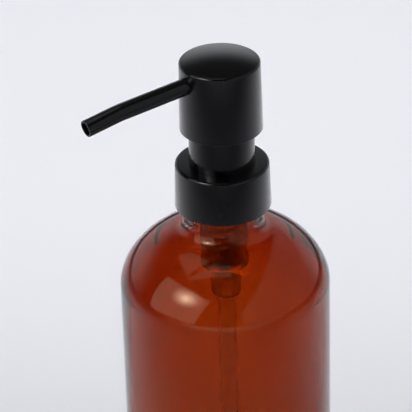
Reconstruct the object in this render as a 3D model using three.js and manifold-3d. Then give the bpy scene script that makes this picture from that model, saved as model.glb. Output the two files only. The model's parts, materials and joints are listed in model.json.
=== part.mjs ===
// Soap pump dispenser: a round glass bottle with a screw-on, metal-clad lotion pump.
// Millimetres, +Z up. The origin is the centre of the bottle's base, and the spout points to -Y.

import * as THREE from 'three';
import { mergeVertices } from 'three/addons/utils/BufferGeometryUtils.js';
import Module from 'manifold-3d';

const wasm = await Module();
wasm.setup();

// ---------------------------------------------------------------- driving dimensions

// Bottle
const bottleRadius = 37.5;
const bodyHeight = 123.75; // base to the foot of the shoulder
const shoulderHeight = 22.5;
const shoulderCrown = 10.1; // radius at which the shoulder's curve would turn level
const shoulderPower = 1.82; // 2 would be an ellipse
const heelRadius = 4.5;
const glassWall = 2.6;
const glassBase = 6;
const innerHeel = 4;
const neckFillet = 5.2;
const neckLength = 9.75; // shoulder's crown to the closure's lower edge
const rimRound = 0.6;

// Thread of the bottle and the closure
const finishRadius = 12.65; // root of the bottle's thread
const finishWall = 2.15; // bore to the thread's root
const neckStep = 0.75; // neck below the closure, beyond the thread's root
const finishHeight = 12.5; // closure's lower edge to the bottle's rim
const threadPitch = 4.23;
const threadTurns = 1.25;
const threadLift = 4; // closure's lower edge to the start of the bottle's thread
const threadClearance = 0.35;
const bottleRidge = { depth: 1.25, section: 1.2 };
const closureRidge = { depth: 0.85, section: 0.9 };

// Clearances
const seatGap = 0.05; // between faces that rest on each other
const fitGap = 0.1; // round pieces that sit in one another
const shellGap = 0.15; // plastic cores in their metal shells

// Collar, closure and sleeve
const gasketThickness = 1.2;
const flangeThickness = 1;
const closurePlate = 1.15;
const closureWall = 1.7;
const closureRecess = 0.6; // closure's lower edge above the collar's
const collarWall = 0.5;
const collarFlare = 0.48; // how much wider the collar is at its lower edge
const collarEdge = 0.77;
const towerBore = 9.9; // hole through the closure's upstanding neck
const towerWall = 1;
const sleeveWall = 0.5;
const sleeveOverlap = 3.27; // how far the sleeve reaches into the resting head
const sleeveEdge = 0.4;

// Pump
const stroke = 12;
const housingClearance = 2.2; // bottle's bore to the housing
const housingWall = 1.2;
const barrelDepth = 23; // closure's lower edge down to the barrel's floor
const guideHeight = 8; // closure's lower edge up to the guide's lower end
const guideFlange = 1.35;
const guideTower = 7.8; // guide's tower above its flange
const guideTowerWall = 1.5;
const guideClearance = 0.4; // guide's flange to the closure's upstanding neck
const stemRadius = 3.5;
const stemBore = 2;
const stemCollar = { width: 1.5, thickness: 1.4 };
const pistonSlip = 1;
const pistonHeight = 7.55;
const pistonLip = 0.6;
const pistonHub = 0.8;
const pistonWaist = 0.2; // hollow between the lips
const pistonCup = 3; // depth of each cup
const valveFlange = { clearance: 1.1, thickness: 1.3 }; // clearance to the barrel's bore
const valveSeat = { reach: 0.95, step: 0.5 }; // base beyond the piston's bore, tip inside the stem's edge
const valveRodRadius = 1.5;
const valveRodLength = 10.6;
const springPilot = { clearance: 0.9, length: 2 }; // clearance inside the coil
const springClearance = 1.5; // coil to the barrel's bore
const springWire = 0.45;
const springTurns = 5;
const cagePlate = 1.5;
const cagePort = 0.8;
const cageRing = { wall: 1, height: 2.4 };
const ballRadius = 2.4;
const ballChamber = 3.2;
const ballLift = 1.5;
const seatHole = 1.5;
const seatDepth = 2;
const dipTubeRadius = 3.5;
const dipTubeWall = 0.9;
const dipTubeSocket = 6;
const dipTubeClearance = 4; // tube's end above the bottle's inner floor
const socketWall = 1.4;

// Head and spout
const headWall = 0.6;
const headClearance = 1.96; // sleeve to the head's shell, at the head's rim
const headFlare = 0.5; // how much wider the head is at its lower edge
const headEdge = 0.67;
const headDome = 1.7;
const headStop = 1.68; // gap left above the collar at full stroke
const sleeveStop = 0.8; // gap left above the sleeve at full stroke
const spoutLedge = 1.69; // insert's underside to the spout, on the axis
const headBrow = 1.79; // spout to the head's rim, on the axis
const insertTopGap = 0.78;
const insertBoss = { radius: 9.2, height: 1.3 };
const insertSocket = { wall: 1.6, depth: 8.3 };
const spoutRadius = 3;
const spoutWall = 0.55;
const spoutPitch = THREE.MathUtils.degToRad(4.1); // dip of its straight run
const spoutStraight = 39.2; // from the pump's axis to the bend
const spoutBendRadius = 37;
const spoutBend = THREE.MathUtils.degToRad(4.8);
const spoutTip = 11.6;
const spoutRootWall = 1.5; // stem's socket to the spout's inner end
const linerWall = 0.6;
const linerRecess = 1.5;
const holeReach = 4; // how far the spout's hole is cut past the head
const sealSection = 0.5;
const sealDistance = 7.6; // along the spout, from the pump's axis

// Facets
const coarse = 24;
const medium = 32;
const fine = 40;

// ---------------------------------------------------------------- places worked out from them

const neckBore = finishRadius - finishWall;
const neckRadius = finishRadius + neckStep;
const shoulderTop = bodyHeight + shoulderHeight;
const closureBottom = shoulderTop + neckLength;
const rimZ = closureBottom + finishHeight;

const gasketZ = rimZ + seatGap;
const flangeZ = gasketZ + gasketThickness + seatGap;
const flangeTop = flangeZ + flangeThickness;
const plateZ = flangeTop + seatGap;
const plateTop = plateZ + closurePlate;
const collarTop = plateTop + seatGap + collarWall;

const closureBore = finishRadius + bottleRidge.depth + threadClearance;
const closureRadius = closureBore + closureWall;
const collarRadius = closureRadius + shellGap + collarWall;
const towerRadius = towerBore + towerWall;
const sleeveRadius = towerRadius + shellGap + sleeveWall;

const headBottom = collarTop + headStop + stroke;
const sleeveTop = headBottom + sleeveOverlap;
const insertBottom = sleeveTop + stroke + sleeveStop;
const spoutAxisZ = insertBottom + spoutRadius + spoutLedge;
const headRim = spoutAxisZ + spoutRadius + headBrow;
const insertTop = headRim - insertTopGap;
const headRadius = sleeveRadius + headClearance + headWall;

const housingRadius = neckBore - housingClearance;
const barrelBore = housingRadius - housingWall;
const springRadius = barrelBore - springClearance - springWire; // centre of the wire
const barrelFloor = closureBottom - barrelDepth;
const guideBottom = closureBottom + guideHeight;
const guideFlangeTop = plateZ + guideFlange;
const guideTop = guideFlangeTop + guideTower;
const guideBore = stemRadius + fitGap;

const stemCollarTop = guideBottom - fitGap;
const pistonTop = stemCollarTop - stemCollar.thickness - pistonSlip - fitGap;
const pistonBottom = pistonTop - pistonHeight;
const pistonBore = stemRadius + shellGap;
const valveFlangeTop = pistonBottom - valveSeat.reach - fitGap; // a 45 degree cone meets the piston above
const valveSeatBase = pistonBore + valveSeat.reach;
const valveSeatTip = stemRadius - valveSeat.step;
const valveFlangeZ = valveFlangeTop - valveFlange.thickness;
const valveSeatTop = valveFlangeTop + valveSeatBase - valveSeatTip;
const stemBottom = valveSeatTop + pistonSlip + fitGap;
const stemTop = spoutAxisZ - spoutRadius;
const cageTop = barrelFloor + seatGap + cagePlate;
const springBottom = cageTop + seatGap;
const springTop = valveFlangeZ - seatGap;

const chamberFloor = barrelFloor - ballRadius - ballLift - seatGap;
const seatBottom = chamberFloor - seatDepth;
const socketTop = seatBottom - socketWall;
const socketBottom = socketTop - dipTubeSocket;
const socketBore = dipTubeRadius + fitGap;
const bendLength = spoutBend * spoutBendRadius;
const spoutLength = spoutStraight + bendLength + spoutTip;
const spoutRoot = stemRadius + spoutRootWall;

// ---------------------------------------------------------------- shape helpers

function solidOf(geometry) {
  const bare = geometry.clone();
  bare.deleteAttribute('normal');
  bare.deleteAttribute('uv');
  const merged = mergeVertices(bare, 1e-4);
  const corners = merged.index.array;
  const kept = [];
  for (let i = 0; i < corners.length; i += 3) {
    const [a, b, c] = [corners[i], corners[i + 1], corners[i + 2]];
    if (a !== b && b !== c && c !== a) kept.push(a, b, c);
  }
  const vertProperties = new Float32Array(merged.attributes.position.array);
  return new wasm.Manifold(new wasm.Mesh({ numProp: 3, vertProperties, triVerts: new Uint32Array(kept) }));
}

function geometryOf(solid) {
  const { vertProperties, triVerts } = solid.getMesh();
  const geometry = new THREE.BufferGeometry();
  geometry.setAttribute('position', new THREE.BufferAttribute(vertProperties, 3));
  geometry.setIndex(new THREE.BufferAttribute(triVerts, 1));
  geometry.computeVertexNormals();
  return geometry;
}

// Radius and height pairs, turned about +Z. An outline runs up its outer side.
function turned(outline, segments) {
  const points = outline.map(([radius, z]) => new THREE.Vector2(radius, z));
  return new THREE.LatheGeometry(points, segments).rotateX(Math.PI / 2);
}

function turnedRing(outline, segments) {
  return turned([...outline, outline[0]], segments);
}

function arc(centreRadius, centreZ, radius, fromDegrees, toDegrees, steps) {
  const points = [];
  for (let i = 0; i <= steps; i += 1) {
    const angle = THREE.MathUtils.degToRad(THREE.MathUtils.lerp(fromDegrees, toDegrees, i / steps));
    points.push([centreRadius + radius * Math.cos(angle), centreZ + radius * Math.sin(angle)]);
  }
  return points;
}

function circle(radius, sides) {
  const shape = new THREE.Shape();
  for (let i = 0; i < sides; i += 1) {
    const angle = (2 * Math.PI * i) / sides;
    const point = [radius * Math.cos(angle), radius * Math.sin(angle)];
    if (i === 0) shape.moveTo(...point);
    else shape.lineTo(...point);
  }
  shape.closePath();
  return shape;
}

class Helix extends THREE.Curve {
  constructor(radius, bottom, rise, turns) {
    super();
    Object.assign(this, { radius, bottom, rise, turns });
  }

  getPoint(t, target = new THREE.Vector3()) {
    const angle = 2 * Math.PI * this.turns * t;
    return target.set(this.radius * Math.cos(angle), this.radius * Math.sin(angle), this.bottom + this.rise * t);
  }
}

class SpoutLine extends THREE.Curve {
  constructor(from, to) {
    super();
    Object.assign(this, { from, to });
  }

  getPoint(t, target = new THREE.Vector3()) {
    return target.copy(spoutPoint(THREE.MathUtils.lerp(this.from, this.to, t)));
  }
}

// A point of the spout's centre line, at a distance along it from the pump's axis.
function spoutPoint(distance) {
  const straight = Math.min(distance, spoutStraight);
  const turn = THREE.MathUtils.clamp((distance - spoutStraight) / spoutBendRadius, 0, spoutBend);
  const last = Math.max(distance - spoutStraight - bendLength, 0);
  const dip = spoutPitch + turn;
  const bendReach = spoutBendRadius * (Math.sin(dip) - Math.sin(spoutPitch));
  const bendDrop = spoutBendRadius * (Math.cos(spoutPitch) - Math.cos(dip));
  const reach = straight * Math.cos(spoutPitch) + bendReach + last * Math.cos(dip);
  const drop = straight * Math.sin(spoutPitch) + bendDrop + last * Math.sin(dip);
  return new THREE.Vector3(0, -reach, spoutAxisZ - drop);
}

function alongCurve(section, extrudePath, steps) {
  return new THREE.ExtrudeGeometry(section, { steps, extrudePath, bevelEnabled: false });
}

function alongSpout(radius, bore, from, to, sides, steps) {
  const section = circle(radius, sides);
  if (bore > 0) section.holes.push(circle(bore, sides));
  return alongCurve(section, new SpoutLine(from, to), steps);
}

function threadRidge(centreRadius, section, startZ) {
  const path = new Helix(centreRadius, startZ, threadPitch * threadTurns, threadTurns);
  return solidOf(alongCurve(circle(section, 8), path, Math.round(28 * threadTurns)));
}

function piece(name, geometry, colour, roughness, metalness) {
  const material = new THREE.MeshStandardMaterial({ color: colour, roughness, metalness });
  const mesh = new THREE.Mesh(geometry, material);
  mesh.name = name;
  return mesh;
}

const blackMetal = [0x15161a, 0.42, 0.6];
const blackPlastic = [0x101012, 0.5, 0];
const whitePlastic = [0xe6e4dc, 0.45, 0];
const steel = [0xb8babd, 0.25, 1];

// ---------------------------------------------------------------- bottle

function shoulderCurve(radius, crown, height, from, to, steps) {
  const points = [];
  for (let i = 0; i <= steps; i += 1) {
    const angle = THREE.MathUtils.lerp(from, to, i / steps);
    const across = Math.cos(angle) ** (2 / shoulderPower);
    const up = Math.sin(angle) ** (2 / shoulderPower);
    points.push([crown + (radius - crown) * across, bodyHeight + height * up]);
  }
  return points;
}

function shoulderNormal([radius, z]) {
  const width = bottleRadius - shoulderCrown;
  const across = ((radius - shoulderCrown) / width) ** (shoulderPower - 1) / width;
  const up = ((z - bodyHeight) / shoulderHeight) ** (shoulderPower - 1) / shoulderHeight;
  return new THREE.Vector2(across, up).normalize();
}

// The angle on the shoulder's curve where the neck's fillet leaves it, found by halving.
function filletStart() {
  let [low, high] = [0, Math.PI / 2];
  for (let i = 0; i < 40; i += 1) {
    const middle = (low + high) / 2;
    const [point] = shoulderCurve(bottleRadius, shoulderCrown, shoulderHeight, middle, middle, 0.5);
    const centre = point[0] + neckFillet * shoulderNormal(point).x;
    if (centre > neckRadius + neckFillet) low = middle;
    else high = middle;
  }
  return low;
}

function bottleOutside() {
  const leave = filletStart();
  const shoulder = shoulderCurve(bottleRadius, shoulderCrown, shoulderHeight, 0, leave, 9);
  const last = shoulder[shoulder.length - 1];
  const normal = shoulderNormal(last);
  const filletZ = last[1] + neckFillet * normal.y;
  const lean = THREE.MathUtils.radToDeg(Math.atan2(normal.y, normal.x));
  return [
    [0, 0],
    ...arc(bottleRadius - heelRadius, heelRadius, heelRadius, -90, 0, 4),
    ...shoulder,
    ...arc(neckRadius + neckFillet, filletZ, neckFillet, 180 + lean, 180, 4).slice(1),
    [neckRadius, closureBottom - closureRecess],
    [finishRadius, closureBottom + closureRecess / 2],
    ...arc(finishRadius - rimRound, rimZ - rimRound, rimRound, 0, 90, 2),
  ];
}

function bottleInside() {
  const radius = bottleRadius - glassWall;
  const crown = neckBore - 2;
  const meetsBore = Math.acos(((neckBore - crown) / (radius - crown)) ** (shoulderPower / 2));
  return [
    ...arc(neckBore + rimRound, rimZ - rimRound, rimRound, 90, 180, 2),
    ...shoulderCurve(radius, crown, shoulderHeight - glassWall, meetsBore, 0, 7),
    ...arc(radius - innerHeel, glassBase + innerHeel, innerHeel, 0, -90, 3),
    [0, glassBase],
  ];
}

function bottle() {
  const glass = solidOf(turned([...bottleOutside(), ...bottleInside()], fine));
  const ridgeRadius = finishRadius + bottleRidge.depth - bottleRidge.section;
  const ridge = threadRidge(ridgeRadius, bottleRidge.section, closureBottom + threadLift);
  const mesh = piece('bottle', geometryOf(glass.add(ridge)), 0x7a3410, 0.08, 0);
  mesh.material.transparent = true;
  mesh.material.opacity = 0.6;
  return mesh;
}

// ---------------------------------------------------------------- collar group

function collarCover() {
  const inner = collarRadius - collarWall;
  const hole = sleeveRadius + fitGap;
  const outline = [
    [inner + collarFlare, closureBottom],
    [collarRadius + collarFlare, closureBottom],
    ...arc(collarRadius - collarEdge, collarTop - collarEdge, collarEdge, 0, 90, 4),
    [hole, collarTop],
    [hole, collarTop - collarWall],
    [inner, collarTop - collarWall],
  ];
  return piece('collar_cover', turnedRing(outline, fine), ...blackMetal);
}

function screwClosure() {
  const bottom = closureBottom + closureRecess;
  const chamfer = collarEdge;
  const outline = [
    [closureBore, bottom],
    [closureRadius + collarFlare, bottom],
    [closureRadius, plateTop - chamfer],
    [closureRadius - chamfer, plateTop],
    [towerRadius, plateTop],
    [towerRadius, sleeveTop - sleeveWall - seatGap],
    [towerBore, sleeveTop - sleeveWall - seatGap],
    [towerBore, plateZ],
    [closureBore, plateZ],
  ];
  const body = solidOf(turnedRing(outline, fine));
  const ridgeRadius = closureBore - closureRidge.depth + closureRidge.section;
  const ridgeZ = closureBottom + threadLift - threadPitch / 2;
  const ridge = threadRidge(ridgeRadius, closureRidge.section, ridgeZ);
  return piece('screw_closure', geometryOf(body.add(ridge)), ...blackPlastic);
}

function guideSleeve() {
  const outline = [
    [sleeveRadius - sleeveWall, plateTop + seatGap],
    [sleeveRadius, plateTop + seatGap],
    ...arc(sleeveRadius - sleeveEdge, sleeveTop - sleeveEdge, sleeveEdge, 0, 90, 3),
    [towerBore, sleeveTop],
    [towerBore, sleeveTop - sleeveWall],
    [sleeveRadius - sleeveWall, sleeveTop - sleeveWall],
  ];
  return piece('guide_sleeve', turnedRing(outline, fine), ...blackMetal);
}

function closureGasket() {
  const inner = housingRadius + shellGap;
  const outer = closureBore - threadClearance - closureRidge.depth;
  const outline = [
    [inner, gasketZ],
    [outer, gasketZ],
    [outer, gasketZ + gasketThickness],
    [inner, gasketZ + gasketThickness],
  ];
  return piece('closure_gasket', turnedRing(outline, medium), 0xd8d5cb, 0.9, 0);
}

// ---------------------------------------------------------------- pump

function pumpHousing() {
  const flangeRadius = closureBore - threadClearance - closureRidge.depth;
  const socketRadius = socketBore + socketWall;
  const coneTop = chamberFloor + ballRadius;
  const outline = [
    [seatHole, seatBottom],
    [seatHole, socketTop],
    [socketBore, socketTop],
    [socketBore, socketBottom],
    [socketRadius, socketBottom],
    [socketRadius, chamberFloor],
    [housingRadius, coneTop],
    [housingRadius, flangeZ],
    [flangeRadius, flangeZ],
    [flangeRadius, flangeTop],
    [barrelBore, flangeTop],
    [barrelBore, barrelFloor],
    [ballChamber, barrelFloor],
    [ballChamber, chamberFloor],
  ];
  return piece('pump_housing', turnedRing(outline, medium), ...whitePlastic);
}

function stemGuide() {
  const towerOuter = guideBore + guideTowerWall;
  const sealWidth = 2 * sealSection + 2 * fitGap;
  const sealPocket = stemRadius + sealWidth;
  const outline = [
    [guideBore, guideBottom],
    [barrelBore - fitGap, guideBottom],
    [barrelBore - fitGap, plateZ],
    [towerBore - guideClearance, plateZ],
    [towerBore - guideClearance, guideFlangeTop],
    [towerOuter + fitGap, guideFlangeTop],
    [towerOuter, guideTop],
    [sealPocket, guideTop],
    [sealPocket, guideTop - sealWidth],
    [guideBore, guideTop - sealWidth],
  ];
  return piece('stem_guide', turnedRing(outline, coarse), ...whitePlastic);
}

function stemSeal() {
  const ring = new THREE.TorusGeometry(stemRadius + sealSection + fitGap, sealSection, 6, coarse);
  const mesh = piece('stem_seal', ring, 0x2a2a2c, 0.8, 0);
  mesh.position.z = guideTop - sealSection - fitGap;
  return mesh;
}

function stem() {
  const collarEdgeRadius = stemRadius + stemCollar.width;
  const outline = [
    [stemBore, stemBottom],
    [stemRadius, stemBottom],
    [stemRadius, stemCollarTop - stemCollar.thickness],
    [collarEdgeRadius, stemCollarTop - stemCollar.thickness],
    [collarEdgeRadius, stemCollarTop],
    [stemRadius, stemCollarTop],
    [stemRadius, stemTop],
    [stemBore, stemTop],
  ];
  return piece('stem', turnedRing(outline, coarse), ...whitePlastic);
}

function valveRod() {
  const pilotRadius = springRadius - springWire - springPilot.clearance;
  const flangeRadius = barrelBore - valveFlange.clearance;
  const outline = [
    [0, valveFlangeZ - springPilot.length],
    [pilotRadius, valveFlangeZ - springPilot.length],
    [pilotRadius, valveFlangeZ],
    [flangeRadius, valveFlangeZ],
    [flangeRadius, valveFlangeTop],
    [valveSeatBase, valveFlangeTop],
    [valveSeatTip, valveSeatTop],
    [valveRodRadius, valveSeatTop],
    [valveRodRadius, valveSeatTop + valveRodLength],
    [0, valveSeatTop + valveRodLength],
  ];
  return piece('valve_rod', turned(outline, coarse), ...whitePlastic);
}

function piston() {
  const outer = barrelBore - shellGap;
  const hub = pistonBore + pistonHub;
  const waist = outer - pistonWaist;
  const web = { bottom: pistonBottom + pistonCup, top: pistonTop - pistonCup };
  const outline = [
    [pistonBore, pistonBottom],
    [hub, pistonBottom],
    [hub, web.bottom],
    [waist - pistonLip, web.bottom],
    [outer - pistonLip, pistonBottom],
    [outer, pistonBottom],
    [waist, (pistonBottom + pistonTop) / 2],
    [outer, pistonTop],
    [outer - pistonLip, pistonTop],
    [waist - pistonLip, web.top],
    [hub, web.top],
    [hub, pistonTop],
    [pistonBore, pistonTop],
  ];
  return piece('piston', turnedRing(outline, coarse), ...whitePlastic);
}

function returnSpring() {
  const rise = springTop - springBottom - 2 * springWire;
  const path = new Helix(springRadius, springBottom + springWire, rise, springTurns);
  const wire = alongCurve(circle(springWire, 6), path, 12 * springTurns);
  return piece('return_spring', wire, ...steel);
}

function ballCage() {
  const plate = circle(barrelBore - shellGap, coarse);
  const portCircle = ballChamber - cagePort - shellGap;
  for (let i = 0; i < 4; i += 1) {
    const angle = (Math.PI / 2) * i;
    const port = new THREE.Path();
    port.absarc(portCircle * Math.cos(angle), portCircle * Math.sin(angle), cagePort, 0, 2 * Math.PI);
    plate.holes.push(port);
  }
  const disc = new THREE.ExtrudeGeometry(plate, { depth: cagePlate, bevelEnabled: false, curveSegments: 8 });
  disc.translate(0, 0, cageTop - cagePlate);
  const inner = portCircle + cagePort;
  const ring = turnedRing([
    [inner, cageTop - cagePlate / 2],
    [inner + cageRing.wall, cageTop - cagePlate / 2],
    [inner + cageRing.wall, cageTop + cageRing.height],
    [inner, cageTop + cageRing.height],
  ], coarse);
  return piece('ball_cage', geometryOf(solidOf(disc).add(solidOf(ring))), ...whitePlastic);
}

function inletBall() {
  const seatAngle = Math.atan2(ballChamber - seatHole, seatDepth);
  const tipBelowHole = seatHole / Math.tan(seatAngle);
  const mesh = piece('inlet_ball', new THREE.SphereGeometry(ballRadius, 16, 10), ...steel);
  mesh.rotation.x = Math.PI / 2;
  mesh.position.z = seatBottom - tipBelowHole + (ballRadius + seatGap) / Math.sin(seatAngle);
  return mesh;
}

function dipTube() {
  const outline = [
    [dipTubeRadius - dipTubeWall, glassBase + dipTubeClearance],
    [dipTubeRadius, glassBase + dipTubeClearance],
    [dipTubeRadius, socketTop - seatGap],
    [dipTubeRadius - dipTubeWall, socketTop - seatGap],
  ];
  const tube = solidOf(turnedRing(outline, coarse));
  const cutSize = 4 * dipTubeRadius;
  const cutter = new THREE.BoxGeometry(cutSize, cutSize, cutSize);
  cutter.translate(0, 0, -cutSize / 2);
  cutter.rotateY(Math.PI / 6);
  cutter.translate(0, 0, glassBase + dipTubeClearance + dipTubeRadius / 2);
  return piece('dip_tube', geometryOf(tube.subtract(solidOf(cutter))), 0xd9dbd6, 0.3, 0);
}

// ---------------------------------------------------------------- head and spout

function headRadiusAt(z) {
  return headRadius + headFlare * THREE.MathUtils.clamp((headRim - z) / (headRim - headBottom), 0, 1);
}

// A shallow cap that rises from the given radius and height to the axis.
function dome(radius, z, rise, steps) {
  const sphere = (radius * radius + rise * rise) / (2 * rise);
  const spread = THREE.MathUtils.radToDeg(Math.asin(radius / sphere));
  return arc(0, z + rise - sphere, sphere, 90 - spread, 90, steps);
}

function headCover() {
  const inner = headRadius - headWall;
  const roof = headRim - headWall;
  const outline = [
    [headRadius + headFlare - headWall, headBottom],
    [headRadius + headFlare, headBottom],
    ...arc(headRadius - headEdge, headRim - headEdge, headEdge, 0, 90, 4),
    ...dome(headRadius - headEdge, headRim, headDome, 4).slice(1),
    ...dome(inner, roof, headDome, 3).reverse(),
  ];
  const shell = solidOf(turnedRing(outline, fine));
  const hole = alongSpout(spoutRadius + fitGap, 0, spoutRoot, headRadius + holeReach, coarse, 2);
  return piece('head_cover', geometryOf(shell.subtract(solidOf(hole))), ...blackMetal);
}

function headInsert() {
  const fit = headWall + shellGap;
  const socketRadius = stemRadius + fitGap + insertSocket.wall;
  const bossBottom = insertBottom - insertBoss.height;
  const socketZ = insertBottom - insertSocket.depth;
  const outline = [
    [stemRadius + fitGap, socketZ],
    [socketRadius, socketZ],
    [socketRadius, bossBottom],
    [insertBoss.radius, bossBottom],
    [insertBoss.radius, insertBottom],
    [headRadiusAt(insertBottom) - fit, insertBottom],
    [headRadiusAt(insertTop) - fit, insertTop],
    [0, insertTop],
    [0, spoutAxisZ],
    [stemBore, spoutAxisZ],
    [stemBore, stemTop + seatGap],
    [stemRadius + fitGap, stemTop + seatGap],
  ];
  const core = solidOf(turnedRing(outline, medium));
  const bore = alongSpout(spoutRadius + fitGap, 0, spoutRoot - seatGap, headRadius + holeReach, coarse, 2);
  const channel = alongSpout(spoutRadius - spoutWall - linerWall, 0, 0, spoutRoot + 1, 12, 2);
  const grooveRadius = spoutRadius + 2 * sealSection + 2 * fitGap;
  const grooveHalf = sealSection + fitGap;
  const groove = alongSpout(grooveRadius, 0, sealDistance - grooveHalf, sealDistance + grooveHalf, coarse, 1);
  const body = core.subtract(solidOf(bore)).subtract(solidOf(channel)).subtract(solidOf(groove));
  return piece('head_insert', geometryOf(body), ...blackPlastic);
}

function spoutTube() {
  const tube = alongSpout(spoutRadius, spoutRadius - spoutWall, spoutRoot, spoutLength, 20, 16);
  return piece('spout_tube', tube, ...blackMetal);
}

function spoutLiner() {
  const outer = spoutRadius - spoutWall - fitGap;
  const liner = alongSpout(outer, outer - linerWall, spoutRoot, spoutLength - linerRecess, 12, 14);
  return piece('spout_liner', liner, 0x1c1c1e, 0.6, 0);
}

function spoutSeal() {
  const ring = new THREE.TorusGeometry(spoutRadius + sealSection + fitGap, sealSection, 6, coarse);
  const mesh = piece('spout_seal', ring, 0x2a2a2c, 0.8, 0);
  mesh.rotation.x = Math.PI / 2 + spoutPitch;
  mesh.position.copy(spoutPoint(sealDistance));
  return mesh;
}

// ---------------------------------------------------------------- the dispenser

const dispenser = new THREE.Group();
dispenser.add(bottle());

const closureGroup = new THREE.Group();
closureGroup.add(collarCover(), screwClosure(), guideSleeve());

const pumpGroup = new THREE.Group();
pumpGroup.add(closureGasket(), pumpHousing(), stemGuide(), stemSeal(), ballCage(), inletBall());
pumpGroup.add(dipTube(), returnSpring(), valveRod(), piston());

const headGroup = new THREE.Group();
headGroup.add(stem(), headCover(), headInsert(), spoutTube(), spoutLiner(), spoutSeal());

dispenser.add(closureGroup, pumpGroup, headGroup);

export default dispenser;
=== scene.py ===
"""Soap pump dispenser: the finished glass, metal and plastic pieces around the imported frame, and a stage."""

import json
import math

import bmesh
import bpy
from bpy.props import FloatProperty, FloatVectorProperty, IntProperty, PointerProperty
from mathutils import Matrix, Vector


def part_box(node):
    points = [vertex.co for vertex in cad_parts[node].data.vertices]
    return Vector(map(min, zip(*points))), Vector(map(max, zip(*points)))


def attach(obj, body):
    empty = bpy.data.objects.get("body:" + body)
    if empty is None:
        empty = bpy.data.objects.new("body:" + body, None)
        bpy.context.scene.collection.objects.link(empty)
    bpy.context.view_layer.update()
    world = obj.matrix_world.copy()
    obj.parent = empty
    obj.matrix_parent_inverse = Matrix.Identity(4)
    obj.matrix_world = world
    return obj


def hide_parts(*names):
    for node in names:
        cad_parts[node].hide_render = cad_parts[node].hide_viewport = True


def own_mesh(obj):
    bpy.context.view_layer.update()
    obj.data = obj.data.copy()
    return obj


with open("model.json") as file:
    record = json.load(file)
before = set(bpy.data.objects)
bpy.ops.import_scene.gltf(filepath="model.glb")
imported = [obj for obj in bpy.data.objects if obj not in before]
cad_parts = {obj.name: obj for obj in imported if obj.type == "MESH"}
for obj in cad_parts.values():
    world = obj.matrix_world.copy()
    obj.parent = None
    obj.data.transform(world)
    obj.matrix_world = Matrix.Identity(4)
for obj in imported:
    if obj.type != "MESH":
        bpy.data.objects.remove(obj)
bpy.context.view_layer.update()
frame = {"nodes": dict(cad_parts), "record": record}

bl_info = {
    "name": "Soap Pump Dispenser",
    "version": (1, 0, 0),
    "blender": (4, 5, 0),
    "location": "View3D > Sidebar > Soap Pump",
    "description": "Models a round glass soap bottle with a black metal lotion pump",
    "category": "Add Mesh",
}

MERGE = 1e-6
CAD_MERGE = 2e-6
SMOOTH_ANGLE = math.radians(35)
Z_AXIS = (0, 0, 1)


def length(name, description, default):
    return FloatProperty(name=name, description=description, default=default, unit="LENGTH", precision=5)


def colour(name, description, default):
    return FloatVectorProperty(
        name=name, description=description, default=default, subtype="COLOR", min=0, max=1
    )


def watts(name, description, default):
    return FloatProperty(name=name, description=description, default=default, unit="POWER")


def radius_of(node):
    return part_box(node)[1][0]


def low(node):
    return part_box(node)[0][2]


def high(node):
    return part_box(node)[1][2]


# ---------------------------------------------------------------- sizes and colours a user would change


class BottleSizes(bpy.types.PropertyGroup):
    wall: length("Wall", "Thickness of the glass wall", 0.0026)
    floor: length("Floor", "Thickness of the glass at the base", 0.006)
    unevenness: length("Unevenness", "Change of the wall's thickness from place to place", 0.0014)
    push_up: length("Push-up", "Depth of the hollow under the base", 0.0012)
    bearing: length("Bearing ring", "Radius of the ring the bottle stands on", 0.0305)
    heel: length("Heel", "Rounding between the base and the side", 0.0045)
    shoulder: length("Shoulder", "Height of the rounded shoulder", 0.0225)
    crown: length("Crown", "Radius at which the shoulder's curve would turn level", 0.0101)
    power: FloatProperty(name="Fullness", description="2 makes the shoulder an ellipse", default=1.82)
    neck: length("Neck", "Radius of the neck below the collar", 0.0134)
    neck_length: length("Neck length", "Shoulder's crown to the collar", 0.00975)
    fillet: length("Fillet", "Hollow curve from shoulder to neck", 0.0052)
    bore: length("Bore", "Radius of the hole through the neck", 0.0105)
    finish: length("Thread root", "Radius of the neck under its thread", 0.01265)
    pitch: length("Thread pitch", "Rise of the thread in one turn", 0.00423)
    turns: FloatProperty(name="Thread turns", description="Length of the thread in turns", default=1.25)
    thread: length("Thread depth", "How far the thread stands out", 0.00125)
    thread_start: length("Thread start", "Collar's lower edge to the thread", 0.004)


class ShellSizes(bpy.types.PropertyGroup):
    wall: length("Wall", "Thickness of the metal shells", 0.0006)
    collar_edge: length("Collar edge", "Rounding of the collar's upper edge", 0.001)
    collar_flare: length("Collar flare", "How much wider the collar is at its lower edge", 0.00048)
    sleeve_edge: length("Sleeve edge", "Rounding of the sleeve's upper edge", 0.0004)
    sleeve_lip: length("Sleeve lip", "Radius of the hole in the sleeve's top", 0.0099)
    head_edge: length("Head edge", "Rounding of the head's rim", 0.0009)
    head_flare: length("Head flare", "How much wider the head is at its lower edge", 0.0005)
    dome: length("Dome", "Rise of the head's domed top", 0.0017)
    lip: length("Lip", "Rounding of the shells' thin lower lips", 0.0002)
    gap: length("Gap", "Clearance between sleeve and collar, and spout and head", 0.0001)


class SpoutSizes(bpy.types.PropertyGroup):
    wall: length("Wall", "Thickness of the spout's tube", 0.00055)
    pitch: FloatProperty(
        name="Pitch", description="Dip of the straight run", default=math.radians(4.1), subtype="ANGLE"
    )
    straight: length("Straight run", "From the pump's axis to the bend", 0.0392)
    bend_radius: length("Bend radius", "Radius of the bend near the tip", 0.037)
    bend: FloatProperty(
        name="Bend", description="Angle of the bend", default=math.radians(4.8), subtype="ANGLE"
    )
    tip: length("Tip", "Straight length past the bend", 0.0116)
    hose_wall: length("Hose wall", "Thickness of the inner hose", 0.0006)
    hose_recess: length("Hose recess", "How far the hose ends inside the tip", 0.0015)
    lip: length("Lip", "Rounding of the tube's ends", 0.0002)


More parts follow.
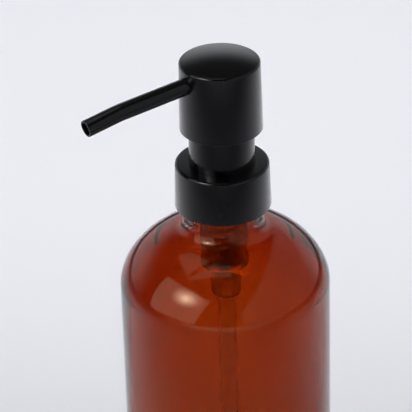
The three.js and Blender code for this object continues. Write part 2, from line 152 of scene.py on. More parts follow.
class PumpSizes(bpy.types.PropertyGroup):
    corner: length("Corner", "Rounding of the moulded corners", 0.00015)
    tube_wall: length("Tube wall", "Thickness of the suction tube", 0.0009)
    tube_cut: FloatProperty(
        name="Tube cut",
        description="Slant of the suction tube's end",
        default=math.radians(30),
        subtype="ANGLE",
    )
    wire: length("Spring wire", "Radius of the spring's wire", 0.00045)
    coils: IntProperty(name="Coils", description="Turns of the return spring", default=5)


class FinishColours(bpy.types.PropertyGroup):
    amber: colour("Amber", "What the glass lets through", (0.829, 0.465, 0.0))
    black: colour("Black", "Paint on the metal shells", (0.0045, 0.0045, 0.005))
    plastic: colour("Black plastic", "Closure, head core and hose", (0.012, 0.012, 0.013))
    natural: colour("Natural plastic", "Pump mouldings", (0.82, 0.81, 0.77))
    steel: colour("Steel", "Spring and ball", (0.62, 0.63, 0.64))


class StageSettings(bpy.types.PropertyGroup):
    floor: colour("Floor", "Colour of the floor", (0.80, 0.80, 0.85))
    sky: FloatProperty(name="Room", description="Brightness of the dim room", default=0.03)
    backdrop: FloatProperty(name="Backdrop", description="Brightness low behind the object", default=0.76)
    wall: FloatProperty(name="Wall", description="Brightness at the right", default=0.32)
    back: watts("Back light", "Power of the light behind", 2.6)
    front: watts("Front light", "Power of the light in front", 4.5)
    top: watts("Top light", "Power of the light above", 0.75)
    window: watts("Window", "Power of the light at the left", 2.0)
    lamp: watts("Lamp", "Power of the lamp in the window", 2.0)


def bottle_sizes():
    return bpy.context.scene.dispenser_bottle


def shell_sizes():
    return bpy.context.scene.dispenser_shells


def spout_sizes():
    return bpy.context.scene.dispenser_spout


def pump_sizes():
    return bpy.context.scene.dispenser_pump


def finish_colours():
    return bpy.context.scene.dispenser_finishes


def stage_settings():
    return bpy.context.scene.dispenser_stage


# ---------------------------------------------------------------- modelling


def deselect_all():
    if bpy.context.object and bpy.context.object.mode != "OBJECT":
        bpy.ops.object.mode_set(mode="OBJECT")
    bpy.ops.object.select_all(action="DESELECT")


def make_active(piece):
    deselect_all()
    piece.select_set(True)
    bpy.context.view_layer.objects.active = piece


def select_where(test, kind="VERT"):
    """Selects the parts of the mesh being edited that pass the test."""
    mesh = bpy.context.object.data
    bpy.ops.mesh.select_mode(type=kind)
    bpy.ops.mesh.select_all(action="DESELECT")
    edited = bmesh.from_edit_mesh(mesh)
    parts = {"VERT": edited.verts, "EDGE": edited.edges, "FACE": edited.faces}[kind]
    for part in parts:
        part.select_set(bool(test(part)))
    edited.select_flush_mode()
    bmesh.update_edit_mesh(mesh)


def draw_outline(name, points, closed=True):
    """Draws radius and height points as a chain of edges in the XZ plane, starting from one corner."""
    deselect_all()
    bpy.ops.mesh.primitive_plane_add(size=0.01, location=(0, 0, 0))
    piece = bpy.context.object
    piece.name = piece.data.name = name
    bpy.ops.object.mode_set(mode="EDIT")
    bpy.ops.mesh.select_mode(type="VERT")
    bpy.ops.mesh.merge(type="CENTER")
    bpy.ops.mesh.select_all(action="SELECT")
    bpy.ops.transform.translate(value=(points[0][0], 0, points[0][1]))
    for here, there in zip(points, points[1:]):
        step = (there[0] - here[0], 0, there[1] - here[1])
        bpy.ops.mesh.extrude_vertices_move(TRANSFORM_OT_translate={"value": step})
    if closed:
        select_where(lambda vert: len(vert.link_edges) == 1)
        bpy.ops.mesh.edge_face_add()
    return piece


def round_corners(radius, test, segments=3):
    """Rounds the outline's corners that pass the test."""
    select_where(lambda vert: test(vert.co.x, vert.co.z))
    bpy.ops.mesh.bevel(affect="VERTICES", offset=radius, segments=segments)


def spin_outline(steps):
    """Turns the outline once round the axis and leaves edit mode."""
    bpy.ops.mesh.select_all(action="SELECT")
    bpy.ops.mesh.spin(steps=steps, angle=2 * math.pi, center=(0, 0, 0), axis=Z_AXIS)
    bpy.ops.mesh.select_all(action="SELECT")
    bpy.ops.mesh.remove_doubles(threshold=MERGE)
    bpy.ops.mesh.normals_make_consistent(inside=False)
    bpy.ops.object.mode_set(mode="OBJECT")


def close_ends():
    """Closes a swept section's two open ends with faces."""
    bpy.ops.object.mode_set(mode="EDIT")
    bpy.ops.mesh.select_all(action="SELECT")
    bpy.ops.mesh.remove_doubles(threshold=MERGE)
    select_where(lambda edge: edge.is_boundary, "EDGE")
    bpy.ops.mesh.edge_face_add()
    select_where(lambda face: True, "FACE")
    bpy.ops.mesh.normals_make_consistent(inside=False)
    bpy.ops.object.mode_set(mode="OBJECT")


def finish_mesh(piece, body, slot, material, *nodes):
    """Smooths a finished mesh, rides it on its body and gives it its finish."""
    make_active(piece)
    bpy.ops.object.transform_apply(location=True, rotation=True, scale=True)
    bpy.ops.object.shade_smooth_by_angle(angle=SMOOTH_ANGLE)
    piece.data.materials.clear()
    piece.data.materials.append(material)
    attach(piece, body)
    if nodes:
        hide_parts(*nodes)


def turned_piece(name, points, steps, on_axis=False):
    """A turned solid. An outline that is on the axis is left open there."""
    piece = draw_outline(name, points, closed=not on_axis)
    spin_outline(steps)
    return piece


def apply_modifier(piece, kind, **settings):
    make_active(piece)
    modifier = piece.modifiers.new(kind.title(), kind)
    for key, value in settings.items():
        setattr(modifier, key, value)
    bpy.ops.object.modifier_apply(modifier=modifier.name)


def cut_with(piece, cutter):
    apply_modifier(piece, "BOOLEAN", operation="DIFFERENCE", object=cutter, solver="EXACT")
    bpy.data.objects.remove(cutter, do_unlink=True)


def join_with(piece, other):
    apply_modifier(piece, "BOOLEAN", operation="UNION", object=other, solver="EXACT")
    bpy.data.objects.remove(other, do_unlink=True)


def arc(centre, radius, start, end, steps):
    """Points on an arc about a centre, angles in degrees."""
    points = []
    for i in range(steps + 1):
        angle = math.radians(start + (end - start) * i / steps)
        points.append((centre[0] + radius * math.cos(angle), centre[1] + radius * math.sin(angle)))
    return points


def dome(radius, z, rise, steps):
    """A shallow cap's outline, from its edge to the axis."""
    ball = (radius * radius + rise * rise) / (2 * rise)
    spread = math.degrees(math.asin(radius / ball))
    return arc((0, z + rise - ball), ball, 90 - spread, 90, steps)


# ---------------------------------------------------------------- finishes


AMBER_DENSITY = 1230


class Finish:
    """A node material in the making: a Principled shader and the texture nodes that feed it."""

    def __init__(self, name):
        self.material = bpy.data.materials.new(name)
        self.material.use_nodes = True
        self.nodes = self.material.node_tree.nodes
        self.links = self.material.node_tree.links
        self.shader = self.nodes["Principled BSDF"]
        self.output = self.nodes["Material Output"]
        coordinates = self.nodes.new("ShaderNodeTexCoord")
        self.mapping = self.nodes.new("ShaderNodeMapping")
        self.links.new(coordinates.outputs["Object"], self.mapping.inputs["Vector"])

    def set(self, **values):
        for key, value in values.items():
            self.shader.inputs[key.replace("_", " ")].default_value = value

    def stretch(self, scale):
        self.mapping.inputs["Scale"].default_value = scale

    def noise(self, scale, detail=2.0):
        node = self.nodes.new("ShaderNodeTexNoise")
        node.inputs["Scale"].default_value = scale
        node.inputs["Detail"].default_value = detail
        self.links.new(self.mapping.outputs["Vector"], node.inputs["Vector"])
        return node.outputs["Fac"]

    def cells(self, scale):
        node = self.nodes.new("ShaderNodeTexVoronoi")
        node.inputs["Scale"].default_value = scale
        self.links.new(self.mapping.outputs["Vector"], node.inputs["Vector"])
        return node.outputs["Distance"]

    def ramp(self, value, *stops):
        node = self.nodes.new("ShaderNodeValToRGB")
        while len(node.color_ramp.elements) < len(stops):
            node.color_ramp.elements.new(0.5)
        for element, (position, shade) in zip(node.color_ramp.elements, stops):
            element.position = position
            element.color = (*shade, 1)
        self.links.new(value, node.inputs["Fac"])
        return node.outputs["Color"]

    def between(self, value, least, most):
        node = self.nodes.new("ShaderNodeMapRange")
        node.inputs["To Min"].default_value = least
        node.inputs["To Max"].default_value = most
        self.links.new(value, node.inputs["Value"])
        return node.outputs["Result"]

    def feed(self, socket, value):
        self.links.new(value, self.shader.inputs[socket])

    def bump(self, value, strength, distance, under=None):
        node = self.nodes.new("ShaderNodeBump")
        node.inputs["Strength"].default_value = strength
        node.inputs["Distance"].default_value = distance
        self.links.new(value, node.inputs["Height"])
        if under:
            self.links.new(under, node.inputs["Normal"])
        return node.outputs["Normal"]


def shades(base, spread):
    """A darker and a lighter shade of a colour."""
    darker = tuple(channel * (1 - spread) for channel in base)
    lighter = tuple(min(channel * (1 + spread), 1) for channel in base)
    return (0.3, darker), (0.7, lighter)


def amber_glass():
    finish = Finish("amber_glass")
    finish.set(Base_Color=(1, 1, 1, 1), IOR=1.51, Transmission_Weight=1.0, Specular_Tint=(1, 0.88, 0.6, 1))
    waves = finish.noise(34, 1.0)
    ripples = finish.noise(150, 1.0)
    slow = finish.bump(waves, 0.25, 0.001)
    finish.feed("Normal", finish.bump(ripples, 0.04, 0.0004, slow))
    finish.feed("Roughness", finish.between(finish.noise(60), 0.0, 0.02))
    absorb = finish.nodes.new("ShaderNodeVolumeAbsorption")
    absorb.inputs["Color"].default_value = (*finish_colours().amber, 1)
    absorb.inputs["Density"].default_value = AMBER_DENSITY
    finish.links.new(absorb.outputs["Volume"], finish.output.inputs["Volume"])
    return finish.material


def black_metal():
    finish = Finish("satin_black_metal")
    finish.set(Specular_IOR_Level=0.08, Coat_Weight=0.8, Coat_Roughness=0.06)
    tone = finish.ramp(finish.noise(90, 4.0), *shades(finish_colours().black, 0.18))
    finish.feed("Base Color", tone)
    finish.feed("Roughness", finish.between(finish.noise(420, 3.0), 0.26, 0.34))
    finish.feed("Normal", finish.bump(finish.noise(2600, 2.0), 0.05, 0.0001))
    return finish.material


def black_plastic():
    finish = Finish("moulded_black_plastic")
    finish.set(Coat_Weight=1.0, Coat_Roughness=0.04)
    tone = finish.ramp(finish.noise(120, 3.0), *shades(finish_colours().plastic, 0.2))
    finish.feed("Base Color", tone)
    finish.feed("Roughness", finish.between(finish.noise(500, 2.0), 0.12, 0.2))
    finish.feed("Normal", finish.bump(finish.noise(1800, 2.0), 0.12, 0.0001))
    return finish.material


def natural_plastic():
    finish = Finish("natural_polypropylene")
    finish.set(Transmission_Weight=0.88, IOR=1.18)
    tone = finish.ramp(finish.noise(70, 3.0), *shades(finish_colours().natural, 0.05))
    finish.feed("Base Color", tone)
    finish.feed("Roughness", finish.between(finish.noise(300, 2.0), 0.36, 0.48))
    finish.feed("Normal", finish.bump(finish.noise(900, 2.0), 0.08, 0.0001))
    return finish.material


def clear_tube():
    finish = Finish("translucent_tube")
    finish.set(Transmission_Weight=1.0, IOR=1.14)
    finish.stretch((1, 1, 0.05))
    tone = finish.ramp(finish.noise(600, 2.0), (0.3, (0.90, 0.91, 0.89)), (0.7, (0.97, 0.98, 0.96)))
    finish.feed("Base Color", tone)
    finish.feed("Roughness", finish.between(finish.noise(400, 2.0), 0.06, 0.12))
    finish.feed("Normal", finish.bump(finish.noise(700, 2.0), 0.1, 0.0001))
    return finish.material


def barrel_plastic():
    """The tube's plastic with the mould's frosted surface, which blurs what is inside."""
    finish = Finish("frosted_barrel")
    finish.set(Transmission_Weight=1.0, IOR=1.22)
    tone = finish.ramp(finish.noise(500, 2.0), (0.3, (0.93, 0.93, 0.91)), (0.7, (0.97, 0.98, 0.96)))
    finish.feed("Base Color", tone)
    finish.feed("Roughness", finish.between(finish.noise(60, 2.0), 0.42, 0.48))
    return finish.material


def gasket_foam():
    finish = Finish("closed_cell_foam")
    tone = finish.ramp(finish.cells(2400), (0.0, (0.62, 0.60, 0.55)), (0.6, (0.80, 0.78, 0.73)))
    finish.feed("Base Color", tone)
    finish.set(Roughness=0.9)
    finish.feed("Normal", finish.bump(finish.cells(2400), 0.5, 0.0002))
    return finish.material


def seal_rubber():
    finish = Finish("black_seal_rubber")
    tone = finish.ramp(finish.noise(800, 3.0), (0.3, (0.022, 0.022, 0.023)), (0.7, (0.04, 0.04, 0.042)))
    finish.feed("Base Color", tone)
    finish.feed("Roughness", finish.between(finish.noise(900, 2.0), 0.6, 0.75))
    finish.feed("Normal", finish.bump(finish.noise(2500, 2.0), 0.1, 0.0001))
    return finish.material


def stainless_steel():
    finish = Finish("drawn_stainless_steel")
    finish.set(Metallic=1.0)
    tone = finish.ramp(finish.noise(500, 2.0), *shades(finish_colours().steel, 0.06))
    finish.feed("Base Color", tone)
    finish.feed("Roughness", finish.between(finish.noise(1500, 2.0), 0.18, 0.3))
    finish.feed("Normal", finish.bump(finish.noise(2200, 1.0), 0.05, 0.0001))
    return finish.material


MAKERS = {
    "amber_glass": amber_glass,
    "black_metal": black_metal,
    "black_plastic": black_plastic,
    "natural_plastic": natural_plastic,
    "clear_tube": clear_tube,
    "gasket_foam": gasket_foam,
    "seal_rubber": seal_rubber,
    "stainless_steel": stainless_steel,
}
finishes = {}


def finish_for(slot):
    """The slot's material, made when it is first asked for."""
    if slot not in finishes:
        finishes[slot] = MAKERS[slot]()
    return finishes[slot]


# ---------------------------------------------------------------- bottle


BOTTLE_STEPS = 144
THREAD_STEPS = 80
THREAD_SECTION = 0.0012
RIM_ROUNDING = 0.0006
INNER_HEEL = 0.004
FLOOR_CROWN = 0.0008
SIDE_RINGS = (0.35, 0.7)
LUMP_SPACING = 0.03


def shoulder_points(radius, foot, start, end, steps):
    """Points on the shoulder's curve, an ellipse drawn fuller or thinner by its power."""
    sizes = bottle_sizes()
    exponent = 2 / sizes.power
    points = []
    for i in range(steps + 1):
        angle = start + (end - start) * i / steps
        across = math.cos(angle) ** exponent
        up = math.sin(angle) ** exponent
        points.append((sizes.crown + (radius - sizes.crown) * across, foot + sizes.shoulder * up))
    return points


def shoulder_normal(point, radius, foot):
    """The outward direction at a point of the shoulder's curve."""
    sizes = bottle_sizes()
    width = radius - sizes.crown
    across = ((point[0] - sizes.crown) / width) ** (sizes.power - 1) / width
    up = ((point[1] - foot) / sizes.shoulder) ** (sizes.power - 1) / sizes.shoulder
    return Vector((across, up)).normalized()


def fillet_start(radius, foot):
    """The angle on the shoulder's curve where the neck's hollow fillet leaves it, found by halving."""
    sizes = bottle_sizes()
    near, far = 0.0, math.pi / 2
    for _ in range(40):
        middle = (near + far) / 2
        point = shoulder_points(radius, foot, middle, middle, 1)[0]
        centre = point[0] + sizes.fillet * shoulder_normal(point, radius, foot).x
        if centre > sizes.neck + sizes.fillet:
            near = middle
        else:
            far = middle
    return near


def shoulder_curve(radius, foot):
    """The shoulder's outside, the height of its fillet's centre, and the lean where the fillet starts."""
    sizes = bottle_sizes()
    leave = fillet_start(radius, foot)
    shoulder = shoulder_points(radius, foot, 0, leave, 44)
    normal = shoulder_normal(shoulder[-1], radius, foot)
    fillet_z = shoulder[-1][1] + sizes.fillet * normal.y
    return shoulder, fillet_z, math.degrees(math.atan2(normal.y, normal.x))


def bottle_outside(radius, foot, collar, rim):
    """The outside's outline, from the middle of the base up to the rim."""
    sizes = bottle_sizes()
    shoulder, fillet_z, lean = shoulder_curve(radius, foot)
    lip = RIM_ROUNDING
    return [
        (0, sizes.push_up),
        (sizes.bearing * 0.5, sizes.push_up * 0.8),
        (sizes.bearing * 0.85, sizes.push_up * 0.3),
        (sizes.bearing, 0),
        *arc((radius - sizes.heel, sizes.heel), sizes.heel, -90, 0, 10),
        *((radius, foot * share) for share in SIDE_RINGS),
        *shoulder,
        *arc((sizes.neck + sizes.fillet, fillet_z), sizes.fillet, 180 + lean, 180, 12)[1:],
        (sizes.neck, collar - lip),
        (sizes.finish, collar + lip / 2),
        *arc((sizes.finish - lip, rim - lip), lip, 0, 90, 4),
    ]


def bottle_inside(radius, foot, rim):
    """The inside follows the outside a wall's thickness away, and widens to the neck's wall at the fillet."""
    sizes = bottle_sizes()
    shoulder, fillet_z, lean = shoulder_curve(radius, foot)
    neck_wall = sizes.neck - sizes.bore
    lip = RIM_ROUNDING
    heel = INNER_HEEL
    inner = radius - sizes.wall
    inner_shoulder = []
    for i, point in enumerate(shoulder):
        part = i / (len(shoulder) - 1)
        wall = sizes.wall + (neck_wall - sizes.wall) * part * part
        normal = shoulder_normal(point, radius, foot) if i else Vector((1, 0))
        inner_shoulder.append((point[0] - wall * normal.x, point[1] - wall * normal.y))
    return [
        *arc((sizes.bore + lip, rim - lip), lip, 90, 180, 4),
        *arc((sizes.neck + sizes.fillet, fillet_z), sizes.fillet + neck_wall, 180, 180 + lean, 12)[:-1],
        *reversed(inner_shoulder),
        *((inner, foot * share) for share in reversed(SIDE_RINGS)),
        *arc((inner - heel, sizes.floor + heel), heel, 0, -90, 8),
        (inner * 0.5, sizes.floor + FLOOR_CROWN / 2),
        (0, sizes.floor + FLOOR_CROWN),
    ]


def bottle_thread(collar):
    """The round ridge of the neck's thread, swept up and round by a screw modifier."""
    sizes = bottle_sizes()
    deselect_all()
    place = (sizes.finish + sizes.thread - THREAD_SECTION, 0, collar + sizes.thread_start)
    bpy.ops.mesh.primitive_circle_add(
        vertices=16, radius=THREAD_SECTION, location=place, rotation=(math.pi / 2, 0, 0)
    )
    ridge = bpy.context.object
    bpy.ops.object.transform_apply(location=True, rotation=True, scale=True)
    apply_modifier(
        ridge,
        "SCREW",
        angle=2 * math.pi * sizes.turns,
        screw_offset=sizes.pitch * sizes.turns,
        steps=THREAD_STEPS,
        render_steps=THREAD_STEPS,
        use_merge_vertices=True,
    )
    close_ends()
    return ridge


class DISPENSER_OT_bottle(bpy.types.Operator):
    """Models the amber glass bottle with its thread"""

    bl_idname = "dispenser.bottle"
    bl_label = "Glass Bottle"

    def execute(self, context):
        sizes = bottle_sizes()
        radius = radius_of("bottle")
        collar = low("collar_cover")
        rim = high("bottle")
        foot = collar - sizes.neck_length - sizes.shoulder
        outline = bottle_outside(radius, foot, collar, rim) + bottle_inside(radius, foot, rim)
        glass = turned_piece("glass_bottle", outline, BOTTLE_STEPS, on_axis=True)
        self.uneven_inside(glass, foot)
        join_with(glass, bottle_thread(collar))
        finish_mesh(glass, "bottle", "amber_glass", finish_for("amber_glass"), "bottle")
        return {"FINISHED"}

    def uneven_inside(self, glass, foot):
        """Makes the wall a little thicker and thinner in places, as moulded glass is, from inside only."""
        sizes = bottle_sizes()
        within_wall = radius_of("bottle") - sizes.wall * 0.6
        below_neck = foot + sizes.shoulder * 0.7
        inside = glass.vertex_groups.new(name="inside")
        for vert in glass.data.vertices:
            faces_in = vert.normal.x * vert.co.x + vert.normal.y * vert.co.y < 0
            across = math.hypot(vert.co.x, vert.co.y)
            if faces_in and across < within_wall and sizes.floor < vert.co.z < below_neck:
                inside.add([vert.index], 1.0, "REPLACE")
        lumps = bpy.data.textures.new("glass_lumps", "CLOUDS")
        lumps.noise_scale = LUMP_SPACING
        lumps.noise_depth = 1
        apply_modifier(
            glass,
            "DISPLACE",
            texture=lumps,
            texture_coords="LOCAL",
            direction="NORMAL",
            strength=sizes.unevenness,
            mid_level=0.5,
            vertex_group="inside",
        )


# ---------------------------------------------------------------- metal shells


SHELL_STEPS = 128
SLEEVE_STEPS = 112
HOLE_SIDES = 64
HOLE_START = 0.008
HOLE_OVERSHOOT = 0.004


class DISPENSER_OT_collar(bpy.types.Operator):
    """Models the collar's shell and the sleeve that stands in it"""

    bl_idname = "dispenser.collar"
    bl_label = "Collar and Sleeve"

    def execute(self, context):
        self.collar()
        self.sleeve()
        return {"FINISHED"}

    def collar(self):
        sizes = shell_sizes()
        wide = radius_of("collar_cover")
        narrow = wide - sizes.collar_flare
        bottom = low("collar_cover")
        top = high("collar_cover")
        hole = radius_of("guide_sleeve") + sizes.gap
        edge = sizes.collar_edge
        outline = [
            (wide - sizes.wall, bottom),
            (wide, bottom),
            *arc((narrow - edge, top - edge), edge, 0, 90, 10),
            (hole, top),
            (hole, top - sizes.wall),
            (narrow - sizes.wall, top - sizes.wall),
        ]
        shell = draw_outline("collar_shell", outline)
        round_corners(sizes.lip, lambda x, z: z < bottom + MERGE)
        spin_outline(SHELL_STEPS)
        finish_mesh(shell, "closure", "black_metal", finish_for("black_metal"), "collar_cover")

    def sleeve(self):
        sizes = shell_sizes()
        radius = radius_of("guide_sleeve")
        bottom = low("guide_sleeve")
        top = high("guide_sleeve")
        wall = sizes.wall * 0.8
        edge = sizes.sleeve_edge
        outline = [
            (radius - wall, bottom),
            (radius, bottom),
            *arc((radius - edge, top - edge), edge, 0, 90, 8),
            (sizes.sleeve_lip, top),
            (sizes.sleeve_lip, top - wall),
            (radius - wall, top - wall),
        ]
        shell = turned_piece("sleeve_shell", outline, SLEEVE_STEPS)
        finish_mesh(shell, "closure", "black_metal", finish_for("black_metal"), "guide_sleeve")


def spout_axis_height():
    """The height at which the line of the spout's straight run meets the pump's axis."""
    sizes = spout_sizes()
    root = -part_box("spout_tube")[1][1]
    return high("spout_tube") - spout_radius() * math.cos(sizes.pitch) + root * math.tan(sizes.pitch)


def spout_radius():
    return radius_of("spout_tube")


def spout_place(distance):
    """A point on the spout's straight run, at a distance along it from the pump's axis."""
    pitch = spout_sizes().pitch
    return Vector((0, -distance * math.cos(pitch), spout_axis_height() - distance * math.sin(pitch)))


def rod_along_spout(radius, start, end):
    """A solid rod on the spout's straight run, for cutting its hole."""
    middle = spout_place((start + end) / 2)
    deselect_all()
    bpy.ops.mesh.primitive_cylinder_add(
        vertices=HOLE_SIDES,
        radius=radius,
        depth=end - start,
        location=middle,
        rotation=(math.pi / 2 + spout_sizes().pitch, 0, 0),
    )
    return bpy.context.object


class DISPENSER_OT_head(bpy.types.Operator):
    """Models the domed shell of the pump head with the spout's hole"""

    bl_idname = "dispenser.head"
    bl_label = "Pump Head"

    def execute(self, context):
        sizes = shell_sizes()
        wide = radius_of("head_cover")
        narrow = wide - sizes.head_flare
        bottom = low("head_cover")
        rim = high("head_cover") - sizes.dome
        edge = sizes.head_edge
        roof = rim - sizes.wall
        inner = narrow - sizes.wall
        outline = [
            (wide - sizes.wall, bottom),
            (wide, bottom),
            *arc((narrow - edge, rim - edge), edge, 0, 80, 10),
            *dome(narrow - edge, rim, sizes.dome, 24)[1:],
            *reversed(dome(inner, roof, sizes.dome, 20)),
        ]
        shell = draw_outline("head_shell", outline)
        round_corners(sizes.lip, lambda x, z: z < bottom + MERGE)
        spin_outline(SHELL_STEPS)
        hole = rod_along_spout(spout_radius() + sizes.gap, HOLE_START, wide + HOLE_OVERSHOOT)
        cut_with(shell, hole)
        finish_mesh(shell, "head", "black_metal", finish_for("black_metal"), "head_cover")
        return {"FINISHED"}


# ---------------------------------------------------------------- spout


PIPE_SIDES = 56
STRAIGHT_STEPS = 6
BEND_STEPS = 12
END_ANGLE = math.radians(50)


def bent_pipe(name, radius, wall, start, end_trim, lip):
    """A hollow pipe along the spout: a straight run, a bend made by spin, and a straight tip."""
    sizes = spout_sizes()
    place = spout_place(start)
    deselect_all()
    bpy.ops.mesh.primitive_circle_add(
        vertices=PIPE_SIDES, radius=radius, location=place, rotation=(math.pi / 2 + sizes.pitch, 0, 0)
    )
    pipe = bpy.context.object
    pipe.name = pipe.data.name = name
    bpy.ops.object.transform_apply(location=True, rotation=True, scale=True)
    bpy.ops.object.mode_set(mode="EDIT")
    bpy.ops.mesh.select_mode(type="VERT")
    bpy.ops.mesh.select_all(action="SELECT")
    along = spout_place(1) - spout_place(0)
    step = along * (sizes.straight - start) / STRAIGHT_STEPS
    for _ in range(STRAIGHT_STEPS):
        bpy.ops.mesh.extrude_region_move(TRANSFORM_OT_translate={"value": step})
    down = Vector((1, 0, 0)).cross(along)
    centre = spout_place(sizes.straight) + down * sizes.bend_radius
    bpy.ops.mesh.spin(steps=BEND_STEPS, angle=-sizes.bend, center=centre, axis=(1, 0, 0))
    after = Matrix.Rotation(sizes.bend, 3, "X") @ along
    bpy.ops.mesh.extrude_region_move(TRANSFORM_OT_translate={"value": after * (sizes.tip - end_trim)})
    bpy.ops.mesh.select_all(action="SELECT")
    bpy.ops.mesh.remove_doubles(threshold=MERGE)
    bpy.ops.mesh.normals_make_consistent(inside=False)
    bpy.ops.object.mode_set(mode="OBJECT")
    apply_modifier(pipe, "SOLIDIFY", thickness=wall, offset=-1, use_even_offset=True)
    apply_modifier(pipe, "BEVEL", width=lip, segments=3, limit_method="ANGLE", angle_limit=END_ANGLE)
    return pipe


class DISPENSER_OT_spout(bpy.types.Operator):
    """Models the bent metal spout and the hose inside it"""

    bl_idname = "dispenser.spout"
    bl_label = "Spout"

    def execute(self, context):
        sizes = spout_sizes()
        start = -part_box("spout_tube")[1][1] / math.cos(sizes.pitch)
        radius = spout_radius()
        pipe = bent_pipe("spout_pipe", radius, sizes.wall, start, 0, sizes.lip)
        finish_mesh(pipe, "head", "black_metal", finish_for("black_metal"), "spout_tube")
        bore = radius - sizes.wall - shell_sizes().gap
        hose = bent_pipe("inner_hose", bore, sizes.hose_wall, start, sizes.hose_recess, sizes.lip)
        finish_mesh(hose, "head", "black_plastic", finish_for("black_plastic"), "spout_liner")
        return {"FINISHED"}


# ---------------------------------------------------------------- pump inside


PUMP_STEPS = 80
SPRING_STEPS = 36
TUBE_STEPS = 64
STRAIGHT_ANGLE = math.radians(1)


def outline_of(node):
    """The half section of a turned CAD node, as closed chains of edges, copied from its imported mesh."""
    source = frame["nodes"][node]
    deselect_all()
    source.hide_set(False)
    piece = source.copy()
    piece.data = source.data.copy()
    bpy.context.scene.collection.objects.link(piece)
    piece.parent = None
    piece.matrix_world = Matrix.Identity(4)
    for key in list(piece.keys()):
        del piece[key]
    make_active(piece)
    bpy.ops.object.mode_set(mode="EDIT")
    bpy.ops.mesh.select_all(action="SELECT")
    bpy.ops.mesh.remove_doubles(threshold=CAD_MERGE)
    select_where(lambda vert: abs(vert.co.y) > MERGE or vert.co.x < -MERGE)
    bpy.ops.mesh.delete(type="VERT")
    bpy.ops.mesh.select_all(action="SELECT")
    bpy.ops.mesh.delete(type="ONLY_FACE")
    return piece


def respun(node, name, on_axis=False):
    """A finer turned piece from a turned CAD node's half section, with its corners rounded."""
    piece = outline_of(node)
    piece.name = piece.data.name = name
    if on_axis:
        select_where(lambda edge: all(vert.co.x < MERGE for vert in edge.verts), "EDGE")
        bpy.ops.mesh.delete(type="EDGE")
    bpy.ops.mesh.select_mode(type="VERT")
    bpy.ops.mesh.select_all(action="SELECT")
    bpy.ops.mesh.dissolve_limited(angle_limit=STRAIGHT_ANGLE)
    round_corners(pump_sizes().corner, lambda x, z: x > MERGE, 2)
    spin_outline(PUMP_STEPS)
    return piece


class DISPENSER_OT_pump(bpy.types.Operator):
    """Models the plastic pump inside the bottle: barrel, guide, stem, piston, seals and ball"""

    bl_idname = "dispenser.pump"
    bl_label = "Pump Works"

    def execute(self, context):
        barrel = respun("pump_housing", "pump_barrel")
        finish_mesh(barrel, "pump", "clear_tube", barrel_plastic(), "pump_housing")
        turned = (
            ("stem_guide", "stem_bush", "pump", "natural_plastic", False),
            ("closure_gasket", "rim_gasket", "pump", "gasket_foam", False),
            ("stem", "plunger_stem", "head", "natural_plastic", False),
            ("piston", "piston_cup", "piston", "natural_plastic", False),
            ("valve_rod", "valve_stem_rod", "plunger", "natural_plastic", True),
        )
        for node, name, body, slot, on_axis in turned:
            piece = respun(node, name, on_axis)
            finish_mesh(piece, body, slot, finish_for(slot), node)
        for node in ("stem_seal", "spout_seal", "inlet_ball", "ball_cage", "screw_closure", "head_insert"):
            self.refinish(node)
        return {"FINISHED"}

    def refinish(self, node):
        """Gives a CAD node that is kept as it is the material of its slot."""
        slots = {part["node"]: part["material_slot"] for part in frame["record"]["subparts"]}
        carried = frame["nodes"][node]
        for material_slot in carried.material_slots:
            material_slot.material = finish_for(slots[node])


class DISPENSER_OT_spring(bpy.types.Operator):
    """Models the return spring at its rest length"""

    bl_idname = "dispenser.spring"
    bl_label = "Return Spring"

    def execute(self, context):
        sizes = pump_sizes()
        bottom = low("return_spring")
        top = high("return_spring")
        coil = radius_of("return_spring") - sizes.wire
        rise = top - bottom - 2 * sizes.wire
        deselect_all()
        place = (coil, 0, bottom + sizes.wire)
        bpy.ops.mesh.primitive_circle_add(
            vertices=12, radius=sizes.wire, location=place, rotation=(math.pi / 2, 0, 0)
        )
        spring = bpy.context.object
        spring.name = spring.data.name = "coil_spring"
        bpy.ops.object.transform_apply(location=True, rotation=True, scale=True)
        apply_modifier(
            spring,
            "SCREW",
            angle=2 * math.pi,
            screw_offset=rise / sizes.coils,
            iterations=sizes.coils,
            steps=SPRING_STEPS,
            render_steps=SPRING_STEPS,
        )
        close_ends()
        finish_mesh(spring, "pump", "stainless_steel", finish_for("stainless_steel"), "return_spring")
        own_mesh(spring)
        return {"FINISHED"}


class DISPENSER_OT_suction_tube(bpy.types.Operator):
    """Models the suction tube with its slanted lower end"""

    bl_idname = "dispenser.suction_tube"
    bl_label = "Suction Tube"

    def execute(self, context):
        sizes = pump_sizes()
        radius = radius_of("dip_tube")
        bore = radius - sizes.tube_wall
        slant = math.tan(sizes.tube_cut)
        bottom = low("dip_tube")
        top = high("dip_tube")
        below = bottom - radius
        outline = [(bore, below), (radius, below), (radius, top), (bore, top)]
        tube = turned_piece("suction_tube", outline, TUBE_STEPS)
        block = 8 * radius
        deselect_all()
        bpy.ops.mesh.primitive_cube_add(size=block, location=(0, 0, 0))
        cutter = bpy.context.object
        turn = Matrix.Rotation(sizes.tube_cut, 4, "Y")
        drop = Matrix.Translation((0, 0, -block / 2))
        cutter.matrix_world = Matrix.Translation((0, 0, bottom + radius * slant)) @ turn @ drop
        cut_with(tube, cutter)
        finish_mesh(tube, "pump", "clear_tube", finish_for("clear_tube"), "dip_tube")
        return {"FINISHED"}


# ---------------------------------------------------------------- stage


CAMERA_DISTANCE = 0.8105
CAMERA_HEIGHT = 0.470
CAMERA_AZIMUTH = math.radians(57.7)
CAMERA_PAN = math.radians(-0.429)
CAMERA_PITCH = math.radians(30.19)
CAMERA_ROLL = math.radians(-1.71)
CAMERA_LENS = 232.5
FLOOR_LIGHT_SPREAD = math.radians(40)
LAMP_MIDDLE = 4


